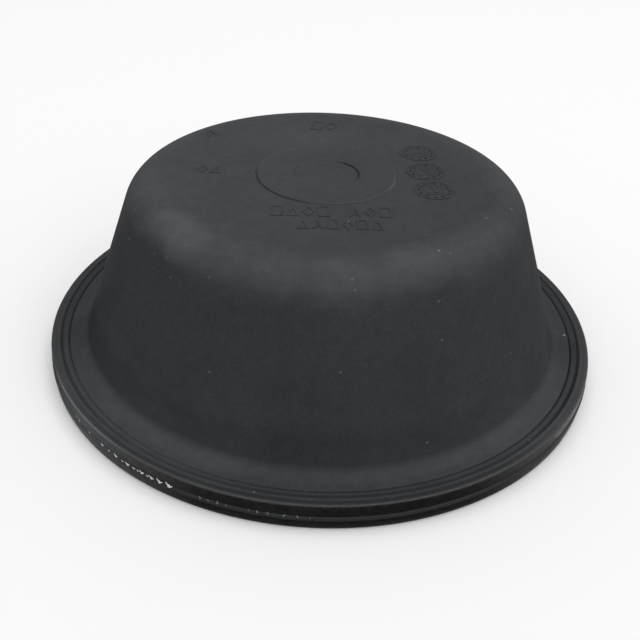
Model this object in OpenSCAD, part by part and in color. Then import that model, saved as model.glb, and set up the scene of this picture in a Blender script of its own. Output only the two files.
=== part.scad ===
// Cup diaphragm of moulded black rubber for an air actuator such as a brake chamber.
// One piece: a flat crown, a tapered wall of even thickness and a wedge-shaped rim
// that a clamp ring squeezes between two housing halves.
// The axis is Z. The crown is up, and the underside of the rim lies at Z = 0.

/* [Rim] */
// Diameter over the parting line, where the rim is widest
rim_d = 153; // [150:0.5:200]
// Thickness of the rim, from its underside to the sealing face
rim_t = 7.1; // [6.6:0.1:9]
// Height of the mould's parting line above the underside
parting_z = 3.2; // [2.5:0.1:3.6]
// Height of the trimmed ledge that the parting line left
ledge_t = 1.1; // [0.4:0.1:1.2]
// How far the upper side of the rim lies inside the ledge
upper_inset = 0.3; // [0.2:0.1:0.6]
// How far the lower side of the rim lies inside the ledge
lower_inset = 0.2; // [0.1:0.1:0.6]
// Radius on the rim's upper and lower edges
rim_edge_r = 0.6; // [0.3:0.05:0.8]
// Width of the flat underside that rests on the housing
land_w = 5.3; // [3:0.1:6]
// Slope of the wedge, from the flat underside up to the wall
wedge_angle = 30; // [20:1:35]
// Radius where the flat underside turns into the wedge
wedge_edge_r = 1; // [0.5:0.1:2]

/* [Sealing face] */
// How far the flange lies below the top of the rim, from the inner groove inwards
flange_drop = 0.7; // [0.3:0.1:0.8]
// Distance of the inner sealing groove from the rim's widest circle
inner_groove_inset = 5.1; // [5:0.1:5.6]
// Width of the inner sealing groove
inner_groove_w = 0.7; // [0.4:0.1:0.9]
// Depth of the inner sealing groove
inner_groove_depth = 0.25; // [0.1:0.05:0.3]
// Distance of the outer sealing groove from the rim's widest circle
outer_groove_inset = 3.1; // [3.1:0.1:3.3]
// Width of the outer sealing groove
outer_groove_w = 0.9; // [0.5:0.1:1]
// Depth of the outer sealing groove
outer_groove_depth = 0.4; // [0.1:0.05:0.45]
// Distance of the shallow hollow beside the rim's edge from the widest circle
edge_hollow_inset = 1.9; // [1.9:0.1:2]
// Width of the shallow hollow
edge_hollow_w = 0.9; // [0.5:0.1:0.9]
// Depth of the shallow hollow
edge_hollow_depth = 0.12; // [0.05:0.01:0.15]
// Radius on the lips and in the roots of the grooves
groove_r = 0.12; // [0.05:0.01:0.14]

/* [Cup] */
// Height from the rim's underside to the crown
crown_z = 50.1; // [30:0.1:60]
// Thickness of the wall and the crown
wall_t = 3.2; // [2.4:0.1:4.4]
// Width of the flange, from the rim's widest circle to the line of the wall
flange_w = 10.1; // [10:0.1:12]
// Angle between the wall and the axis
wall_angle = 20; // [8:0.5:22]
// Outer radius where the crown turns into the wall
shoulder_r = 8.9; // [6:0.1:14]
// Outer radius where the wall turns into the flange
foot_r = 4; // [2:0.1:4.5]

/* [Crown pad] */
// Outer diameter of the slightly raised ring in the middle of the crown
pad_outer_d = 37; // [24:0.5:44]
// Inner diameter of that ring
pad_inner_d = 17; // [6:0.5:22]
// Height of the ring above the crown
pad_h = 0.25; // [0.2:0.05:0.5]
// Radius on the ring's four edges
pad_edge_r = 0.1; // [0.02:0.01:0.12]

/* [Hidden] */

// Largest turn between two points of an arc, in degrees
arc_step = 5;
// Points of a small arc come no closer than this
arc_chord = 0.15;
// Sides of the full turn
$fn = 240;

rim_r = rim_d / 2;
upper_r = rim_r - upper_inset;
lower_r = rim_r - lower_inset;
// Radius on the corners of the ledge
ledge_r = upper_inset / 4;
land_r = rim_r - lower_inset - land_w;

// The wall's outer face, as the radius where its straight line passes a height
foot_corner_r = rim_r - flange_w;
function wall_at(z) = foot_corner_r - (z - rim_t) * tan(wall_angle);
// The inner face is the same line, moved inwards by the wall's thickness
function inner_wall_at(z) = wall_at(z) - wall_t / cos(wall_angle);

// The sealing face falls from the inner lip of the outer groove to the inner groove
flange_z = rim_t - flange_drop;
slope_top_r = rim_r - outer_groove_inset - outer_groove_w / 2;
slope_foot_r = rim_r - inner_groove_inset;
function face_at(r) =
    flange_z + flange_drop * max(0, min(1, (r - slope_foot_r) / (slope_top_r - slope_foot_r)));

// Height at which the wedge, rising inwards from the flat underside, meets the inner wall
wedge_z = (land_r - inner_wall_at(0)) / (1 / tan(wedge_angle) - tan(wall_angle));
inner_crown_z = crown_z - wall_t;

// Points of the arc that rounds the corner b between the points a and c
function round_corner(a, b, c, r) =
    let (to_a = (a - b) / norm(a - b),
         to_c = (c - b) / norm(c - b),
         half = acos(to_a * to_c) / 2,
         centre = b + (to_a + to_c) / norm(to_a + to_c) * r / sin(half),
         from = b + to_a * r / tan(half) - centre,
         upto = b + to_c * r / tan(half) - centre,
         first = atan2(from[1], from[0]),
         turn = (atan2(upto[1], upto[0]) - first + 540) % 360 - 180,
         chords = r * abs(turn) * PI / 180 / arc_chord,
         steps = max(2, ceil(min(abs(turn) / arc_step, chords))))
    [for (i = [0:steps])
        centre + r * [cos(first + turn * i / steps), sin(first + turn * i / steps)]];

function flat(corner) = [corner[0], corner[1]];

// A closed outline from corners given as [radius, height, rounding]
function outline(corners) =
    let (last = len(corners) - 1)
    [for (i = [0:last])
        each corners[i][2] == 0
            ? [flat(corners[i])]
            : round_corner(flat(corners[(i + last) % (last + 1)]), flat(corners[i]),
                           flat(corners[(i + 1) % (last + 1)]), corners[i][2])];

// Corners of a V groove in the sealing face, from its inner lip to its outer one
function groove(inset, width, depth) =
    let (r = rim_r - inset, lip_in = r - width / 2, lip_out = r + width / 2)
    [[lip_in, face_at(lip_in), groove_r],
     [r, face_at(r) - depth, groove_r],
     [lip_out, face_at(lip_out), groove_r]];

// The crown pad, from the axis to its outer edge. Its sides rise two to one
function crown_pad() =
    [[0, crown_z, 0],
     [pad_inner_d / 2, crown_z, pad_edge_r],
     [pad_inner_d / 2 + pad_h / 2, crown_z + pad_h, pad_edge_r],
     [pad_outer_d / 2 - pad_h / 2, crown_z + pad_h, pad_edge_r],
     [pad_outer_d / 2, crown_z, pad_edge_r]];

// The rim's side: the upper side, the ledge at the parting line and the lower side
function rim_side() =
    [[upper_r, rim_t, rim_edge_r],
     [upper_r, parting_z + ledge_t / 2, ledge_r],
     [rim_r, parting_z + ledge_t / 2, ledge_r],
     [rim_r, parting_z - ledge_t / 2, ledge_r],
     [lower_r, parting_z - ledge_t / 2 - lower_inset, 0],
     [lower_r, 0, rim_edge_r]];

module diaphragm() {
    color("#34373a")
    rotate_extrude()
        polygon(outline(concat(
            crown_pad(),
            [[wall_at(crown_z), crown_z, shoulder_r],
             [wall_at(flange_z), flange_z, foot_r]],
            groove(inner_groove_inset, inner_groove_w, inner_groove_depth),
            groove(outer_groove_inset, outer_groove_w, outer_groove_depth),
            groove(edge_hollow_inset, edge_hollow_w, edge_hollow_depth),
            rim_side(),
            [[land_r, 0, wedge_edge_r],
             [inner_wall_at(wedge_z), wedge_z, foot_r + wall_t],
             [inner_wall_at(inner_crown_z), inner_crown_z, shoulder_r - wall_t],
             [0, inner_crown_z, 0]])));
}

diaphragm();
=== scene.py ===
import math
import random

import bpy
from mathutils import Matrix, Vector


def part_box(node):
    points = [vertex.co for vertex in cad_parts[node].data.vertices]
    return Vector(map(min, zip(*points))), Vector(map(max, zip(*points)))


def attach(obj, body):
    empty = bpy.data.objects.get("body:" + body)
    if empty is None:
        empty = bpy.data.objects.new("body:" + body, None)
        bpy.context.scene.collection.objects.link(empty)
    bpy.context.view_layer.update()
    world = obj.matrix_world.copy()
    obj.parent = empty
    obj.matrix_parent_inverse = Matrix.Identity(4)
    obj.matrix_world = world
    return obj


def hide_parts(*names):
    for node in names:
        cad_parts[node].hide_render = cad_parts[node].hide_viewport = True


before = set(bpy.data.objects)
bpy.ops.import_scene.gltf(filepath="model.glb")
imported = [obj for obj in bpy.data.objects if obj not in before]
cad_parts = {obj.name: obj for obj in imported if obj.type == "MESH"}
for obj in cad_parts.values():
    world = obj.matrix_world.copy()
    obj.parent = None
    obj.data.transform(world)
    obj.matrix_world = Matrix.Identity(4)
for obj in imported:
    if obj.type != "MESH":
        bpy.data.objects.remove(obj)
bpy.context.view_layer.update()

# The moulding is one piece of black neoprene with a fabric inside it. A heated steel mould
# presses crown, wall, flange, wedge-shaped rim and sealing grooves at once. Here its half
# section is drawn corner by corner and then spun, as the mould itself was turned.
mm = 0.001
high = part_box("diaphragm")[1]
rim_r, pad_top = high.x, high.z
rim_t, flange_z, ledge_low, ledge_high = 7.1 * mm, 6.4 * mm, 2.65 * mm, 3.75 * mm
upper_side_r, lower_side_r = rim_r - 0.3 * mm, rim_r - 0.2 * mm
land_r = lower_side_r - 5.3 * mm
crown_z, wall_t, foot_corner_r = 50.1 * mm, 3.2 * mm, rim_r - 10.1 * mm
wall_lean, wedge_slope = math.radians(20), math.radians(30)
pad_inner_r, pad_outer_r, pad_slope = 8.5 * mm, 18.5 * mm, 0.125 * mm
inner_groove_r, outer_groove_r, slope_top_r = rim_r - 5.1 * mm, rim_r - 3.1 * mm, rim_r - 3.55 * mm
edge_hollow_r = rim_r - 1.9 * mm
# Roundings of the section's corners
shoulder_round, foot_round, rim_round, wedge_round = 8.9 * mm, 4 * mm, 0.6 * mm, 1 * mm
pad_round, lip_round = 0.1 * mm, 0.12 * mm
section_sides, merge_gap = 360, 0.002 * mm
# How deep the polished side reaches into the rim
side_depth = 0.72 * mm


def wall_r(z):
    """Radius of the wall's outer face at a height"""
    return foot_corner_r - (z - rim_t) * math.tan(wall_lean)


def inner_r(z):
    """Radius of the wall's inner face at a height"""
    return wall_r(z) - wall_t / math.cos(wall_lean)


def face_z(r):
    """Height of the sealing face, which rises from the flange to the top of the rim"""
    rise = (r - inner_groove_r) / (slope_top_r - inner_groove_r)
    return flange_z + (rim_t - flange_z) * max(0, min(1, rise))


def groove(r, width, depth):
    """Corners of a sealing groove, from its inner lip to its outer one"""
    half = width / 2
    return [(r - half, face_z(r - half), lip_round), (r, face_z(r) - depth, lip_round),
            (r + half, face_z(r + half), lip_round)]


def start_at(spot, name):
    """A single vertex to draw from, which is a small plane merged to its middle"""
    bpy.ops.object.select_all(action="DESELECT")
    bpy.ops.mesh.primitive_plane_add(size=mm, location=spot)
    piece = bpy.context.object
    piece.name = piece.data.name = name
    bpy.ops.object.transform_apply(location=True)
    bpy.ops.object.mode_set(mode="EDIT")
    bpy.ops.mesh.select_all(action="SELECT")
    bpy.ops.mesh.merge(type="CENTER")
    return piece


def draw_section(corners):
    """Extrude the selected vertex from corner to corner, and spin it round each rounded one"""
    here = corners[0][:2]
    for before, corner, after in zip(corners, corners[1:], corners[2:] + [None]):
        r, z, rounding = corner
        goal = (r, z)
        if rounding:
            back = math.atan2(before[1] - z, before[0] - r)
            onward = math.atan2(after[1] - z, after[0] - r)
            opening = (onward - back) % (2 * math.pi)
            hollow = opening > math.pi
            half = (2 * math.pi - opening if hollow else opening) / 2
            middle = back - half if hollow else back + half
            tangent, reach = rounding / math.tan(half), rounding / math.sin(half)
            goal = (r + tangent * math.cos(back), z + tangent * math.sin(back))
        bpy.ops.mesh.extrude_vertices_move(
            TRANSFORM_OT_translate={"value": (goal[0] - here[0], 0, goal[1] - here[1])})
        here = goal
        if rounding:
            turn = math.pi - 2 * half
            # A large rounding gets a step every 5 degrees
            steps = 4 if rounding < mm else math.ceil(math.degrees(turn) / 5)
            bpy.ops.mesh.spin(
                steps=steps, angle=turn, axis=(0, 1 if hollow else -1, 0),
                center=(r + reach * math.cos(middle), 0, z + reach * math.sin(middle)))
            here = (r + tangent * math.cos(onward), z + tangent * math.sin(onward))


def merge_and_face_out():
    """Close what was drawn at its seams and poles, and turn its faces outwards"""
    bpy.ops.mesh.select_all(action="SELECT")
    bpy.ops.mesh.remove_doubles(threshold=merge_gap)
    bpy.ops.mesh.normals_make_consistent(inside=False)


def turn_round(steps):
    """Spin the drawn section round the axis"""
    bpy.ops.mesh.select_all(action="SELECT")
    bpy.ops.mesh.spin(steps=steps, angle=2 * math.pi, center=(0, 0, 0), axis=(0, 0, 1))
    merge_and_face_out()


def finish_drawing(sharp_angle):
    """Leave edit mode and shade smooth, but for the edges sharper than an angle in degrees"""
    bpy.ops.object.mode_set(mode="OBJECT")
    bpy.ops.object.shade_smooth_by_angle(angle=math.radians(sharp_angle))


wedge_z = (land_r - inner_r(0)) / (1 / math.tan(wedge_slope) - math.tan(wall_lean))
inner_crown_z = crown_z - wall_t
parting_z = (ledge_low + ledge_high) / 2
moulding = start_at((0, 0, crown_z), "diaphragm_moulding")
draw_section([
    (0, crown_z, 0),
    (pad_inner_r, crown_z, pad_round),
    (pad_inner_r + pad_slope, pad_top, pad_round),
    (pad_outer_r - pad_slope, pad_top, pad_round),
    (pad_outer_r, crown_z, pad_round),
    (wall_r(crown_z), crown_z, shoulder_round),
    (wall_r(flange_z), flange_z, foot_round),
    *groove(inner_groove_r, width=0.7 * mm, depth=0.25 * mm),
    *groove(outer_groove_r, width=0.9 * mm, depth=0.4 * mm),
    *groove(edge_hollow_r, width=0.9 * mm, depth=0.12 * mm),
    (upper_side_r, rim_t, rim_round),
    (upper_side_r, parting_z, 0),
    (lower_side_r, parting_z, 0),
    (lower_side_r, 0, rim_round),
    (land_r, 0, wedge_round),
    (inner_r(wedge_z), wedge_z, foot_round + wall_t),
    (inner_r(inner_crown_z), inner_crown_z, shoulder_round - wall_t),
    (0, inner_crown_z, 0)])
turn_round(section_sides)
finish_drawing(40)


def linear(colour):
    """An sRGB hex colour as the linear values that a shader takes"""
    parts = [int(colour[i:i + 2], 16) / 255 for i in (1, 3, 5)]
    return [c / 12.92 if c <= 0.04045 else ((c + 0.055) / 1.055) ** 2.4 for c in parts] + [1]


def add_node(tree, kind, inputs=(), **settings):
    """One node with its settings. An input is a value, an output, or a node for its first output"""
    made = tree.nodes.new(kind)
    for name, value in settings.items():
        setattr(made, name, value)
    for name, value in dict(inputs).items():
        if isinstance(value, bpy.types.Node):
            value = next(output for output in value.outputs if output.enabled)
        if isinstance(value, bpy.types.NodeSocket):
            tree.links.new(value, made.inputs[name])
        else:
            made.inputs[name].default_value = value
    return made


def new_material(name):
    """A material, its empty node tree, and the place on the object that its patterns read"""
    made = bpy.data.materials.new(name)
    made.use_nodes = True
    made.node_tree.nodes.clear()
    return made, made.node_tree, add_node(made.node_tree, "ShaderNodeTexCoord").outputs["Object"]


def zone(*fades):
    """Where some values lie in their ranges: the product of smooth fades from start to stop,
    each given as (value, start, stop) for a share from 0 to 1, or with two more numbers for
    the shares at its start and its stop"""
    share = None
    for value, start, stop, *ends in fades:
        first, last = ends or (0, 1)
        fade = add_node(tree, "ShaderNodeMapRange", {
            "Value": value, "From Min": start, "From Max": stop, "To Min": first, "To Max": last},
            interpolation_type="SMOOTHSTEP")
        share = fade if share is None else add_node(
            tree, "ShaderNodeMath", {0: share, 1: fade}, operation="MULTIPLY")
    return share


def near(x, y, z, reach, amount, core):
    """A round patch, fading from its core to its reach. All but the amount are in mm"""
    gap = add_node(tree, "ShaderNodeVectorMath", {0: place, 1: (x * mm, y * mm, z * mm)},
                   operation="DISTANCE")
    return zone((gap, reach * mm, core * mm, 0, amount))


def patched(share, core, patches):
    """A share with round patches added, each with its place, reach and amount"""
    for x, y, z, reach, amount in patches:
        share = add_node(tree, "ShaderNodeMath", {0: share, 1: near(x, y, z, reach, amount, core)},
                         operation="ADD")
    return share


def tinted(tone, colour, share, *more_shares):
    """A tone turned towards a colour by the product of the shares"""
    for another in more_shares:
        share = add_node(tree, "ShaderNodeMath", {0: share, 1: another}, operation="MULTIPLY")
    return add_node(tree, "ShaderNodeMix", {"Factor": share, "A": tone, "B": linear(colour)},
                    data_type="RGBA")


# Neoprene, compression moulded: matt charcoal black. The spark-eroded mould leaves a grain of
# about 0.2 mm, here drawn at 0.5 mm so that it shows, and the rubber's flow a faint mottle 3
# and 22 mm wide.
rubber, tree, place = new_material("neoprene_compression_moulded")
axes = add_node(tree, "ShaderNodeSeparateXYZ", {"Vector": place}).outputs
level = add_node(tree, "ShaderNodeVectorMath", {0: place, 1: (1, 1, 0)}, operation="MULTIPLY")
across = add_node(tree, "ShaderNodeVectorMath", {0: level}, operation="LENGTH")
grain, speckle, mottle, flow = [
    add_node(tree, "ShaderNodeTexNoise", {
        "Vector": place, "Scale": 1 / (width * mm), "Detail": detail})
    for width, detail in ((0.5, 3), (0.9, 2), (3, 4), (22, 2))]
broad, cloudy, gritty = [
    add_node(tree, "ShaderNodeMath", {0: first, 1: second}, operation="ADD")
    for first, second in ((mottle, flow), (speckle, mottle), (grain, speckle))]
tone = tinted(linear("#3f4042"), "#434446", zone((broad, 0.75, 1.25)))

# The shoulder, less of the crown's left, and the flange are tinted grey, partly a real wax bloom
# and partly painted highlight where they face the soft boxes. Round patches with a positive
# amount add painted highlights, and those with a negative amount add painted shade.
crown_edge = (39.5 * mm, 49 * mm)
bloom_and_highlight = add_node(tree, "ShaderNodeMath", {
    0: zone((axes["Z"], 40 * mm, 47.5 * mm, 0, 0.26), (across, *crown_edge)),
    1: zone((axes["X"], 42 * mm, -48 * mm, 0, 0.14), (axes["Z"], 45 * mm, 49 * mm),
            (across, *crown_edge, 1, 0))}, operation="ADD")
bloom_and_highlight = patched(bloom_and_highlight, 3, [
    (-36.8, -30.2, 51.5, 8, 0.24), (-31.8, -36.9, 48.5, 8, 0.33), (-44.5, -16.2, 50, 7, 0.06),
    (-9, -49, 48, 7, 0.1), (5, -50, 46.5, 9, 0.14), (21, -44, 50, 11, 0.2), (50, -23, 39, 10, 0.1),
    (0, 26, 50, 18, 0.1), (-57, -38, 7, 22, 0.18), (-44, -53, 7, 17, 0.22), (-28, -63, 7, 22, 0.24),
    (36, -58, 7, 18, 0.17), (52, -48, 7, 18, 0.25), (66, -25, 7, 18, 0.16), (60, -36, 6.5, 7, 0.12),
    (-41.5, -35.5, 45, 10, -0.2), (-35, -41.5, 45, 8, -0.1), (24.5, -47, 44.5, 9, -0.16),
    (44.9, -13.7, 49, 13, -0.1), (26, 24, 50, 20, 0.08), (-14, 28, 50, 20, 0.05),
    (-47, -22, 46, 10, -0.14), (17, -62.5, 8, 13, 0.14)])
tone = tinted(tone, "#5f6165", bloom_and_highlight, zone((cloudy, 0.7, 1.3, 0.75, 1.25)))

# Painted shade: the foot of the wall, in the corner above the flange, is darker, less so on the
# right, with more in patches round the front half and on the wall at the left.
foot = patched(
    zone((axes["Z"], 19 * mm, 13 * mm, 0, 0.28), (axes["Z"], 7 * mm, 9 * mm),
         (axes["X"], 34 * mm, 56 * mm, 1, 0.45)), 5, [
        (-61.5, -12, 16, 15, 0.25), (-56.5, -26, 15, 14, 0.17), (65.3, -14.5, 8.2, 10, 0.2),
        (-64.5, -16, 7.6, 9, 0.14), (17, -58, 15, 20, 0.1), (-26, -55, 15, 14, 0.08),
        (-2, -61, 20, 15, 0.1), (-55, -21, 29, 15, 0.2)])
tone = tinted(tone, "#232527", foot)


def ring(r, half_width, share):
    """A ring of a radius on the upper side, which fades to both sides of it"""
    off = add_node(tree, "ShaderNodeMath", {0: across, 1: r}, operation="SUBTRACT")
    off = add_node(tree, "ShaderNodeMath", {0: off}, operation="ABSOLUTE")
    return zone((off, half_width * mm, 0.3 * half_width * mm, 0, share),
                (axes["Z"], 3 * mm, 5 * mm))


# Painted shade darkens the two grooves, less at the front left and more towards the right, and a
# strip between them is paler at the front left. At the front the rim's top, from the inner groove
# out over the hollow to the rounded edge, is painted darker as shade too.
shade_black = "#1c1e1f"
groove_shade = patched(patched(0.55, 0, [(69, -28, 7, 40, 0.3)]), 12, [(-47, -55, 7, 46, -0.42)])
outer_groove_shade = patched(groove_shade, 18, [(-51, -57, 7, 44, 0.2)])
tone = tinted(tone, shade_black, ring(inner_groove_r, 0.35, 1), groove_shade)
tone = tinted(tone, shade_black, ring(outer_groove_r - 0.1 * mm, 0.6, 1), outer_groove_shade)
tone = tinted(tone, "#5f6165", ring(rim_r - 4.2 * mm, 0.7, 0.16), near(-61, -46, 7, 44, 1, 18))
front_only = zone((axes["Y"], -40 * mm, -64 * mm))
for inset, half_width, share in ((5.4, 2.4, 0.13), (2.4, 0.45, 0.2), (1.7, 0.6, 0.5),
                                 (1.15, 0.5, 0.45)):
    tone = tinted(tone, shade_black, ring(rim_r - inset * mm, half_width, share), front_only)

# The pad's edges have painted shade on the stretches that face away from the light, at the front
# left of the outer edge and the back right of the inner one, and painted highlights with one
# short glint on the stretches that face it.
on_top = zone((axes["Z"], 48.5 * mm, 49.5 * mm))
for r, x, y, reach, share, colour in (
        (pad_outer_r, -15.7, -9.8, 17, 0.32, "#0c0d0e"),
        (pad_inner_r, 7.6, 3.4, 8.5, 0.5, "#0c0d0e"),
        (pad_inner_r, -2.9, 8, 9, 0.8, "#4c4e51"),
        (pad_outer_r - 0.3 * mm, 13, -13, 21, 0.75, "#4c4e51"),
        (pad_outer_r - 0.2 * mm, 17.2, -6.3, 3.5, 0.25, "#6c6e71"),
        (pad_outer_r - 0.2 * mm, -14.5, 11.5, 13, 0.5, "#545659")):
    arc = near(x, y, 50.2, reach, 1, 0.5 * reach)
    tone = tinted(tone, colour, ring(r, 0.5, share), arc, on_top)
tone = tinted(tone, "#000000", zone((gritty, 0.75, 1.25, 0, 0.13)))

# Dust: fine specks all over, up to 0.35 mm across, one to every 3.4 mm or so and paler ones to
# every 9 mm, and single grains that stand out, each with its place and size in mm and its share.
for spacing, speck_size, rarity, colour in ((3.4, 0.05, 0.5, "#505356"), (9, 0.02, 0.6, "#5c5e60")):
    specks = add_node(tree, "ShaderNodeTexVoronoi", {"Vector": place, "Scale": 1 / (spacing * mm)})
    chance = add_node(tree, "ShaderNodeSeparateColor", {"Color": specks.outputs["Color"]})
    size = zone((chance.outputs["Red"], rarity, 1, 0, speck_size))
    inside = add_node(tree, "ShaderNodeMath", {0: specks.outputs["Distance"], 1: size},
                      operation="LESS_THAN")
    tone = tinted(tone, colour, inside)
for x, y, z, size, share in (
        (70.2, -6.5, 6.4, 0.5, 1), (25.9, -38.4, 49.9, 0.4, 0.5), (-24.3, -54.6, 25.2, 0.35, 0.4),
        (-12.5, -72.9, 7.1, 0.35, 0.45), (51.4, -51.8, 7, 0.4, 0.2), (26.2, 1, 50.1, 0.35, 0.55),
        (-4.4, -65.2, 7.2, 0.6, 0.35), (25.8, -59.4, 11.5, 0.4, 0.35),
        (7.2, -51.2, 46.5, 0.4, 0.24), (26, -47, 42, 0.4, 0.28), (28.4, -38.4, 49.5, 0.4, 0.27),
        (27.5, -49.7, 33.5, 0.4, 0.27), (5.1, -58, 29.5, 0.4, 0.21), (-35.5, -38.7, 45, 0.4, 0.26),
        (-47.4, -25.2, 42, 0.6, 0.25), (6.5, -49.5, 48.2, 0.4, 0.2), (-34.3, -41.6, 41.5, 0.4, 0.24),
        (38.9, -21.6, 50.1, 0.6, 0.23), (59.3, -9.4, 24.5, 0.6, 0.23), (-39, -35.7, 44.2, 0.4, 0.22),
        (-61.6, -26.1, 6.5, 0.5, 0.24), (46.4, -14.2, 49.1, 0.6, 0.22), (46.4, -39, 23, 0.4, 0.22),
        (-24.7, -46.4, 45, 0.4, 0.2), (59.8, -27.9, 6.6, 0.4, 0.2), (-46.4, -20.2, 47.7, 0.4, 0.2),
        (5.7, -26.9, 50.1, 0.5, 0.5)):
    tone = tinted(tone, "#8b8d90", near(x, y, z, size, share, 0.4 * size))
relief = add_node(tree, "ShaderNodeBump", {
    "Height": grain, "Strength": 0.6, "Distance": 0.04 * mm})
skin = add_node(tree, "ShaderNodeBsdfPrincipled", {
    "Base Color": tone, "Roughness": zone((mottle, 0.3, 0.7, 0.86, 0.94)),
    "IOR": 1.52, "Specular IOR Level": 0.04, "Normal": relief})
add_node(tree, "ShaderNodeOutputMaterial", {"Surface": skin})

# The same neoprene on the rim's side, where the mould is polished and the flash is trimmed
# off: blacker and with more shine, and finely scuffed. At the front left a painted highlight runs
# along its top edge, and the side below it is painted lighter as a reflection of light there.
side, tree, place = new_material("neoprene_polished_edge")
axes = add_node(tree, "ShaderNodeSeparateXYZ", {"Vector": place}).outputs
scuffs, wear = [
    add_node(tree, "ShaderNodeTexNoise", {
        "Vector": place, "Scale": 1 / (width * mm), "Detail": detail})
    for width, detail in ((0.7, 3), (1.6, 2))]
relief = add_node(tree, "ShaderNodeBump", {
    "Height": scuffs, "Strength": 0.7, "Distance": 0.05 * mm})
tone = tinted(linear("#1b1b1c"), "#2c2d2e", zone((scuffs, 0.35, 0.75)))
tone = tinted(tone, "#7a7c7f", near(-58, -50, 7, 22, 0.6, 6), zone((axes["Z"], 6.2 * mm, 6.8 * mm)))
tone = tinted(tone, "#46484a", near(-57, -51, 2.5, 28, 0.6, 8))
tone = tinted(tone, "#5a5c5f", near(-60, -47.5, 4.5, 14, 0.7, 5))
skin = add_node(tree, "ShaderNodeBsdfPrincipled", {
    "Base Color": tone,
    "Roughness": patched(zone((wear, 0.3, 0.7, 0.4, 0.55)), 12, [(-75, -14, 5, 30, 0.35)]),
    "IOR": 1.52, "Specular IOR Level": 0.5, "Normal": relief})
add_node(tree, "ShaderNodeOutputMaterial", {"Surface": skin})

moulding.data.materials.append(rubber)
moulding.data.materials.append(side)
for face in moulding.data.polygons:
    if math.hypot(face.center.x, face.center.y) > rim_r - side_depth and face.center.z > 0:
        face.material_index = 1
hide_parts("diaphragm")
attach(moulding, "root")

# What the mould's own marks leave on the crown, in the same rubber: three date clocks with the
# months round a pointer, and rows of plain shapes. They stand up by 0.22 mm.
relief_root, disc_top, relief_top = crown_z - 0.3 * mm, crown_z + 0.08 * mm, crown_z + 0.22 * mm
stroke, stroke_bevel = 0.45 * mm, 0.08 * mm
marks = start_at((0, 0, relief_root), "crown_marks")
bpy.ops.mesh.delete(type="VERT")


def bar(start, end, drop=0):
    """A raised bar from one point of the crown to another, with its edges rounded. A drop in mm
    keeps the tops of bars that cross from lying in one plane"""
    (x, y), (x2, y2), height = start, end, relief_top - relief_root - drop * mm
    bpy.ops.mesh.primitive_cube_add(
        size=1, location=((x + x2) / 2, (y + y2) / 2, relief_root + height / 2),
        rotation=(0, 0, math.atan2(y2 - y, x2 - x)),
        scale=(math.hypot(x2 - x, y2 - y) + stroke, stroke, height))
    bpy.ops.mesh.bevel(offset=stroke_bevel, segments=2, affect="EDGES")


def draw(shape, x, y, width, height, turn):
    """A plain shape in bars. Its corners lie in a unit square, and x, y is that square's corner"""
    lean = math.radians(turn)
    spots = [((x + u * width * math.cos(lean) - v * height * math.sin(lean)) * mm,
              (y + u * width * math.sin(lean) + v * height * math.cos(lean)) * mm)
             for u, v in shape]
    for count, (start, end) in enumerate(zip(spots, spots[1:])):
        bar(start, end, drop=0.01 * count)


square = [(0, 0), (1, 0), (1, 1), (0, 1), (0, 0)]
peak = [(0, 0), (1, 0), (0.5, 1), (0, 0)]
diamond = [(0.5, 0), (1, 0.5), (0.5, 1), (0, 0.5), (0.5, 0)]
dart = [(0, 0), (0.5, 0.35), (1, 0), (0.5, 1), (0, 0)]
row_turn = 3
for shapes, x, y, pitch, width, height in (
        ([square, peak, diamond, square, None, dart, diamond, square], -12.6, -25.2, 3.75, 2.5, 4.9),
        ([peak, dart, square, diamond, square, peak], -6, -31.2, 3.5, 2.3, 4.4)):
    for count, shape in enumerate(shapes):
        if shape:
            along = pitch * count
            draw(shape, x + along, y + along * math.sin(math.radians(row_turn)), width, height,
                 row_turn)
for shape, x, y, width, height, turn in (
        (diamond, -34.2, -2.6, 2.6, 4.4, 0), (peak, -30.6, -2.4, 2.6, 4.4, 0),
        (dart, -34.5, 22.5, 3, 4.4, 30), (square, -5.2, 31.6, 3, 6, -4),
        (diamond, -1, 31.6, 3, 6, -4)):
    draw(shape, x, y, width, height, turn)

# Each clock's place in mm, and where its pointer points in degrees
dials = [(25.4, 16.5, 25), (26.4, 4, 118), (27.7, -7.5, 305)]
disc_r, number_ring_r, number_size = 5.3 * mm, 3.9 * mm, 1.7 * mm
wire_r, wire_flatness = 0.2 * mm, 0.6
pointer_tail, pointer_tip = -1.4 * mm, 1.5 * mm
barb_length, barb_turn = 1.1 * mm, 0.75
for x, y, pointing in dials:
    x, y, pointing = x * mm, y * mm, math.radians(pointing)
    bpy.ops.mesh.primitive_cylinder_add(
        vertices=48, radius=disc_r, depth=disc_top - relief_root,
        location=(x, y, (disc_top + relief_root) / 2))
    for wire_ring_r, segments in ((2.45 * mm, 36), (5.1 * mm, 48)):
        bpy.ops.mesh.primitive_torus_add(
            location=(x, y, disc_top), major_radius=wire_ring_r, minor_radius=wire_r,
            major_segments=segments, minor_segments=8)
        bpy.ops.transform.resize(value=(1, 1, wire_flatness), center_override=(x, y, disc_top))
    tail, tip = [(x + reach * math.cos(pointing), y + reach * math.sin(pointing))
                 for reach in (pointer_tail, pointer_tip)]
    bar(tail, tip)
    for barb in (barb_turn, -barb_turn):
        bar(tip, (tip[0] + barb_length * math.cos(pointing + math.pi - barb),
                  tip[1] + barb_length * math.sin(pointing + math.pi - barb)),
            drop=0.01 + 0.01 * barb)
bpy.ops.object.mode_set(mode="OBJECT")

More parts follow.
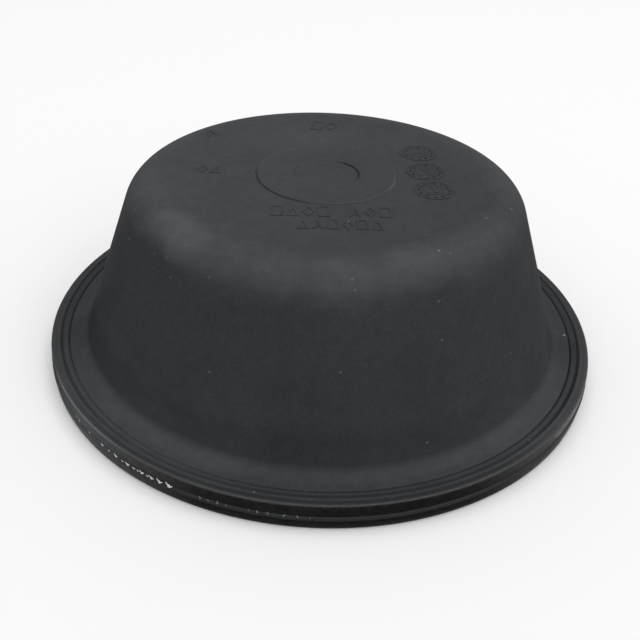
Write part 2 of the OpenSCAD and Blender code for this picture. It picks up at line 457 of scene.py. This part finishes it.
numbers = []
for x, y, pointing in dials:
    for month in range(1, 13):
        clock = math.radians(90 - 30 * month)
        bpy.ops.object.select_all(action="DESELECT")
        bpy.ops.object.text_add(location=(
            x * mm + number_ring_r * math.cos(clock), y * mm + number_ring_r * math.sin(clock),
            disc_top))
        number = bpy.context.object
        number.data.body, number.data.size = str(month), number_size
        number.data.align_x = number.data.align_y = "CENTER"
        number.data.extrude, number.data.resolution_u = relief_top - disc_top, 2
        bpy.ops.object.convert(target="MESH")
        numbers.append(bpy.context.object)
for piece in [*numbers, marks]:
    piece.select_set(True)
bpy.context.view_layer.objects.active = marks
bpy.ops.object.join()
bpy.ops.object.mode_set(mode="EDIT")
merge_and_face_out()
finish_drawing(40)

# The marks were cut into the same mould and come out with the same grain. Their sides get
# painted shade beside each stroke, most of all on the clocks.
marks.data.materials.clear()
marked = rubber.copy()
marked.name = "neoprene_moulded_marks"
tree = marked.node_tree
skin = next(node for node in tree.nodes if node.type == "BSDF_PRINCIPLED")
place = next(node for node in tree.nodes if node.type == "TEX_COORD").outputs["Object"]
axes = add_node(tree, "ShaderNodeSeparateXYZ", {"Vector": place}).outputs
sides = add_node(tree, "ShaderNodeMath", {
    0: zone((axes["Z"], crown_z + 0.17 * mm, crown_z + 0.11 * mm, 0, 0.3)),
    1: zone((axes["Z"], crown_z + 0.1 * mm, crown_z + 0.085 * mm, 0, 0.28))},
    operation="SUBTRACT")
tone = tinted(skin.inputs["Base Color"].links[0].from_socket, "#18191a", sides,
              zone((axes["X"], 17 * mm, 20 * mm, 0.5, 1.9)))
tree.links.new(tone.outputs["Result"], skin.inputs["Base Color"])
marks.data.materials.append(marked)
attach(marks, "root")

# The ledge at the parting line, where the flash was trimmed off: a matt and slightly ragged lip
# all round, part of the same rubber. It stands on a root inside the rim.
root_r, lip_r, ledge_out_r = rim_r - 0.6 * mm, rim_r - 0.06 * mm, rim_r - 0.01 * mm
lip_height, ledge_foot, ragged, ledge_steps = 0.3 * mm, ledge_low - 0.25 * mm, 0.09 * mm, 600
ledge = start_at((root_r, 0, ledge_high), "parting_ledge")
draw_section([
    (root_r, ledge_high, 0),
    (lip_r, ledge_high, 0),
    (ledge_out_r, ledge_high - lip_height, 0),
    (ledge_out_r, ledge_low + lip_height, 0),
    (lip_r, ledge_low, 0),
    (lower_side_r - 0.1 * mm, ledge_foot, 0),
    (root_r, ledge_foot, 0),
    (root_r, ledge_high, 0)])
turn_round(ledge_steps)
bpy.ops.transform.vertex_random(offset=ragged, seed=3)
finish_drawing(50)

# Neoprene that was cut: duller and greyer than the polished side round it, in blotches 0.4 mm
# wide, and greyest at the front left.
trimmed, tree, place = new_material("neoprene_trimmed_edge")
blotches = add_node(tree, "ShaderNodeTexNoise", {
    "Vector": place, "Scale": 1 / (0.4 * mm), "Detail": 2})
tone = tinted(linear("#2a2b2c"), "#4a4c4e", blotches)
tone = tinted(tone, "#606265", near(-58, -50, 3, 26, 0.6, 10))
skin = add_node(tree, "ShaderNodeBsdfPrincipled", {
    "Base Color": tone, "Roughness": 0.8, "IOR": 1.52, "Specular IOR Level": 0.3})
add_node(tree, "ShaderNodeOutputMaterial", {"Surface": skin})
ledge.data.materials.append(trimmed)
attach(ledge, "root")

# Flash that tore where the mould closed: a row of torn shreds left on the ledge at the front
# left, each a knob with two frayed arms. The shreds grow towards the front, and beyond a gap
# they are small slivers.
flash = start_at((0, 0, 0), "torn_flash")
bpy.ops.mesh.delete(type="VERT")
fray = random.Random(5)
# The leftmost shreds sit higher: they climb from this many degrees round, by so much a degree
climb_from, climb = 236, 0.03 * mm
shred_sunk, foot_sunk, shred_rough = 0.02 * mm, 0.2 * mm, 0.06 * mm


def shred(around, length, width, lean):
    """One frayed sliver on the ledge, with its sizes in mm, leaning to the left or the right"""
    rise = max(0, climb_from - around) * climb
    turn, out = math.radians(around), rim_r - shred_sunk - 0.5 * rise
    foot = (out * math.cos(turn), out * math.sin(turn), ledge_high - foot_sunk + rise)
    bpy.ops.mesh.select_all(action="DESELECT")
    bpy.ops.mesh.primitive_cone_add(
        vertices=6, radius1=width * mm, radius2=0.45 * width * mm, depth=length * mm,
        rotation=(0, 0, turn), location=(foot[0], foot[1], foot[2] + length / 2 * mm),
        scale=(0.6, 1, 1))
    bpy.ops.mesh.subdivide(number_cuts=1)
    bpy.ops.transform.vertex_random(offset=shred_rough, seed=fray.randrange(1000))
    bpy.ops.transform.rotate(
        value=math.radians(lean), orient_axis="X", orient_matrix=Matrix.Rotation(turn, 3, "Z"),
        center_override=foot)


# Each shred's place in degrees round, and its growth. Past 250 degrees they are single slivers
sliver_from = 250
for around, growth in (
        (219.6, 0.45), (220.9, 0.48), (224.8, 0.45), (229, 0.62), (231, 0.45), (233, 0.75),
        (234.7, 0.45), (236.1, 0.85), (237.6, 0.5), (238.5, 0.4), (239.4, 0.9), (240.7, 0.45),
        (241.6, 0.92), (243.3, 1), (245.3, 1.2), (251.3, 0.8), (252.8, 0.7), (254.4, 0.95),
        (256, 0.6), (259.8, 0.65), (261.3, 0.85), (263, 0.8), (265.6, 0.9), (268, 0.75), (270, 0.5)):
    if around > sliver_from:
        shred(around, 0.9 * growth, 0.3 * growth, fray.uniform(-30, 30))
    else:
        shred(around, 0.55 * growth, 0.4 * growth, fray.uniform(-15, 15))
        shred(around, fray.uniform(1, 1.35) * growth, 0.24 * growth, fray.uniform(-56, -38))
        shred(around, fray.uniform(0.75, 1.05) * growth, 0.22 * growth, fray.uniform(46, 64))
finish_drawing(50)

# Neoprene that was stretched until it tore, which turns it white, with painted glints: the
# shreds are whitest at the front left, where they catch the light. The slivers stay grey.
torn, tree, place = new_material("neoprene_torn_whitened_painted_glints")
axes = add_node(tree, "ShaderNodeSeparateXYZ", {"Vector": place}).outputs
fibres = add_node(tree, "ShaderNodeTexNoise", {
    "Vector": place, "Scale": 1 / (0.5 * mm), "Detail": 2})
whitening_and_glint = zone((axes["X"], -24 * mm, -30 * mm, 0.2, 1), (fibres, 0.2, 0.45),
                 (axes["Y"], -48 * mm, -60 * mm, 0.7, 1))
skin = add_node(tree, "ShaderNodeBsdfPrincipled", {
    "Base Color": tinted(linear("#3c3e40"), "#f7f8f8", whitening_and_glint),
    "Roughness": 0.8, "IOR": 1.52, "Specular IOR Level": 0.3})
add_node(tree, "ShaderNodeOutputMaterial", {"Surface": skin})
flash.data.materials.append(torn)
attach(flash, "root")

# The studio: a plain pale floor of paper in a white room, soft boxes round it and the camera.
# What is seen directly or as a reflection is white, and what lights the object is toned down
# to a plain level. Far off the paper glows white, so that no horizon shows in a low view.
floor_width, glow_from, glow_full = 8, 0.7, 2.2
room_level, lamp_distance = 0.6, 2.7
bpy.ops.object.select_all(action="DESELECT")
bpy.ops.mesh.primitive_plane_add(size=floor_width, location=(0, 0, 0))
floor = bpy.context.object
floor.name = "studio_floor"
paper, tree, place = new_material("pale_paper_floor")


def seen_directly():
    """1 for rays that see a surface from the camera, in gloss or through glass, else 0"""
    ray = add_node(tree, "ShaderNodeLightPath").outputs
    seen = add_node(tree, "ShaderNodeMath", {0: ray["Is Camera Ray"], 1: ray["Is Glossy Ray"]},
                    operation="MAXIMUM")
    return add_node(tree, "ShaderNodeMath", {0: seen, 1: ray["Is Transmission Ray"]},
                    operation="MAXIMUM")


white_paper = add_node(tree, "ShaderNodeBsdfDiffuse", {"Color": linear("#fdfdfd")})
toned_paper = add_node(tree, "ShaderNodeBsdfDiffuse", {"Color": linear("#525252")})
glow = add_node(tree, "ShaderNodeEmission", {"Color": (1, 1, 1, 1), "Strength": 1})
gap = add_node(tree, "ShaderNodeVectorMath", {0: place}, operation="LENGTH")
seen_paper = add_node(tree, "ShaderNodeMixShader", {
    "Fac": zone((gap, glow_from, glow_full)), 1: white_paper, 2: glow})
both = add_node(tree, "ShaderNodeMixShader", {
    "Fac": seen_directly(), 1: toned_paper, 2: seen_paper})
add_node(tree, "ShaderNodeOutputMaterial", {"Surface": both})
floor.data.materials.append(paper)

# Two dyed cards that only gloss sees: one lies round the front, black in the middle and grey at
# its ends, and one stands at its outer edge. They keep the white floor and the white room out of
# the shine of the rim's side.
card_reach, card_height, card_lift = 70 * mm, 55 * mm, 0.02 * mm


def bent_card(name, start_r, edge, turned, spread, steps):
    """A card that bends round the object: one edge, turned to its place in degrees and spun"""
    card = start_at((start_r, 0, card_lift), name)
    bpy.ops.mesh.extrude_vertices_move(TRANSFORM_OT_translate={"value": edge})
    bpy.ops.mesh.select_all(action="SELECT")
    bpy.ops.transform.rotate(
        value=math.radians(turned), orient_axis="Z", center_override=(0, 0, 0))
    bpy.ops.mesh.spin(
        steps=steps, angle=math.radians(spread), center=(0, 0, 0), axis=(0, 0, 1))
    bpy.ops.object.mode_set(mode="OBJECT")
    return card


lying_card = bent_card("dark_card", rim_r + 0.1 * mm, (card_reach, 0, 0), -325, 135, 64)
standing_card = bent_card("standing_card", rim_r + card_reach, (0, 0, card_height), -308, 40, 24)
dyed, tree, place = new_material("dyed_card")
axes = add_node(tree, "ShaderNodeSeparateXYZ", {"Vector": place}).outputs
towards_front = add_node(tree, "ShaderNodeMath", {0: axes["Y"], 1: -1}, operation="MULTIPLY")
off_front = add_node(tree, "ShaderNodeMath", {0: axes["X"], 1: towards_front},
                     operation="ARCTAN2")
tint = tinted(linear("#606060"), "#b4b4b4",
              zone((off_front, math.radians(-62), math.radians(-46))))
tint = tinted(tint, "#060606", zone((off_front, math.radians(-33), math.radians(-18)),
                                    (off_front, math.radians(48), math.radians(28))))
dull = add_node(tree, "ShaderNodeBsdfDiffuse", {"Color": tint})
add_node(tree, "ShaderNodeOutputMaterial", {"Surface": dull})
for card in (lying_card, standing_card):
    card.data.materials.append(dyed)
    card.visible_camera = card.visible_shadow = card.visible_diffuse = False

world = bpy.data.worlds.new("white_room")
bpy.context.scene.world = world
world.use_nodes = True
tree = world.node_tree
tree.nodes.clear()
dim = add_node(tree, "ShaderNodeBackground", {"Color": (1, 1, 1, 1), "Strength": room_level})
white = add_node(tree, "ShaderNodeBackground", {"Color": (1, 1, 1, 1), "Strength": 1})
both = add_node(tree, "ShaderNodeMixShader", {"Fac": seen_directly(), 1: dim, 2: white})
add_node(tree, "ShaderNodeOutputWorld", {"Surface": both})


def softbox(name, azimuth, elevation, size, brightness):
    """A square soft box that faces the object. A brightness of 1 is that of the white room"""
    turn = Matrix.Rotation(math.radians(azimuth + 90), 4, "Z") @ Matrix.Rotation(
        math.radians(90 - elevation), 4, "X")
    lamp = bpy.data.lights.new(name, "AREA")
    lamp.size, lamp.energy = size, brightness * math.pi * size ** 2
    box = bpy.data.objects.new(name, lamp)
    box.matrix_world = turn @ Matrix.Translation((0, 0, lamp_distance))
    box.visible_camera = False
    bpy.context.scene.collection.objects.link(box)


softbox("softbox_overhead", 0, 90, 1.8, 1.35)
softbox("softbox_right", 0, 60, 1.5, 1.2)
softbox("softbox_left", 180, 60, 1.5, 0.5)
softbox("softbox_back", 90, 60, 1.5, 0.38)
softbox("softbox_front_right", 315, 35, 1.5, 0.95)
softbox("softbox_front", 270, 35, 1.5, 0.5)

# The camera has the photo's angle, 34 degrees down, and its nearness, 0.24 m from the object
camera = bpy.data.objects.new("camera", bpy.data.cameras.new("camera"))
bpy.context.scene.collection.objects.link(camera)
camera.data.lens, camera.data.sensor_width = 44.364, 36
camera.data.shift_x, camera.data.shift_y = 0.02235, -0.01692
camera.matrix_world = (
    Matrix.Translation((0, -193.16 * mm, 136.20 * mm))
    @ Matrix.Rotation(math.radians(1.263), 4, "Z")
    @ Matrix.Rotation(math.radians(90 - 33.824), 4, "X")
    @ Matrix.Rotation(math.radians(2.002), 4, "Z"))
bpy.context.scene.camera = camera
bpy.context.scene.view_settings.view_transform = "Standard"
